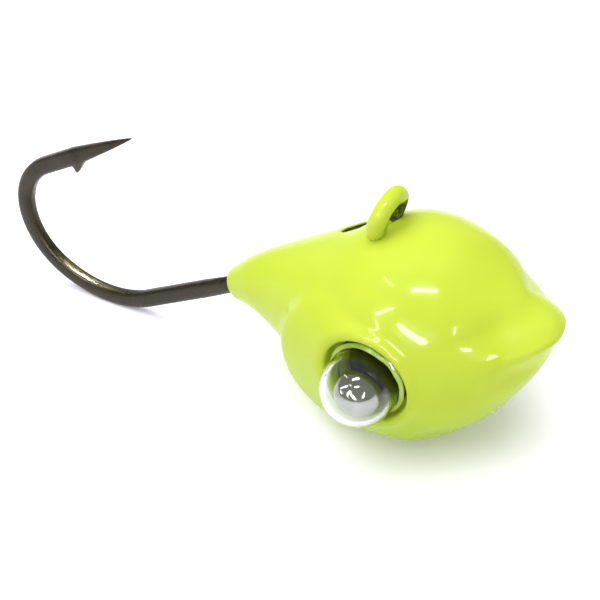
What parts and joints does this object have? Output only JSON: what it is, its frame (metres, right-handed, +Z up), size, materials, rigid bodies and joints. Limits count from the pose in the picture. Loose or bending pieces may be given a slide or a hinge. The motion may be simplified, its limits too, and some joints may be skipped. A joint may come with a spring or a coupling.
{
  "type": "rattle jig head",
  "caption": "Lead jig head with a painted egg-shaped body, a forward-leaning line eye, a barbed bronze hook and a clear glass rattle tube set across the head.",
  "frame": {"origin": "on the floor under the middle of the jig as it rests on its belly and the bend of its hook, in the hook's own plane", "axes": "+X towards the nose, +Y across the head along the rattle tube, +Z up, with the shank tipped 27.7 degrees nose up"},
  "size_m": [0.0448, 0.02, 0.0181],
  "materials": {
    "lead": "dull cast lead",
    "chartreuse_paint": "glossy fluorescent yellow-green powder paint",
    "bronze_wire": "dark bronze lacquer over forged wire",
    "clear_glass": "clear blown glass",
    "clear_glue": "clear set glue",
    "steel_shot": "polished steel ball"
  },
  "bodies": {
    "jig": {"head_casting": "lead", "powder_coat": "chartreuse_paint", "eye_coat": "chartreuse_paint", "hook": "bronze_wire", "rattle_capsule": "clear_glass", "glue_ring_near": "clear_glue", "glue_ring_far": "clear_glue"},
    "ball_1": {"shot_1": "steel_shot"},
    "ball_2": {"shot_2": "steel_shot"},
    "ball_3": {"shot_3": "steel_shot"},
    "ball_4": {"shot_4": "steel_shot"},
    "ball_5": {"shot_5": "steel_shot"}
  },
  "joints": [
    {"name": "shot_1_slide", "type": "slide", "parent": "jig", "child": "ball_1", "axis": [0, 1, 0], "range_m": [0, 0.0011]},
    {"name": "shot_2_slide", "type": "slide", "parent": "jig", "child": "ball_2", "axis": [0, 1, 0], "range_m": [-0.0011, 0]},
    {"name": "shot_3_slide", "type": "slide", "parent": "jig", "child": "ball_3", "axis": [0, 1, 0], "range_m": [-0.0011, 0]},
    {"name": "shot_4_slide", "type": "slide", "parent": "jig", "child": "ball_4", "axis": [0, 1, 0], "range_m": [-0.0011, 0]},
    {"name": "shot_5_slide", "type": "slide", "parent": "jig", "child": "ball_5", "axis": [0, 1, 0], "range_m": [-0.0011, 0]}
  ],
  "couplings": [
    {"joint": "shot_3_slide", "follows": "shot_2_slide", "ratio": 1},
    {"joint": "shot_4_slide", "follows": "shot_2_slide", "ratio": 1},
    {"joint": "shot_5_slide", "follows": "shot_2_slide", "ratio": 1}
  ]
}
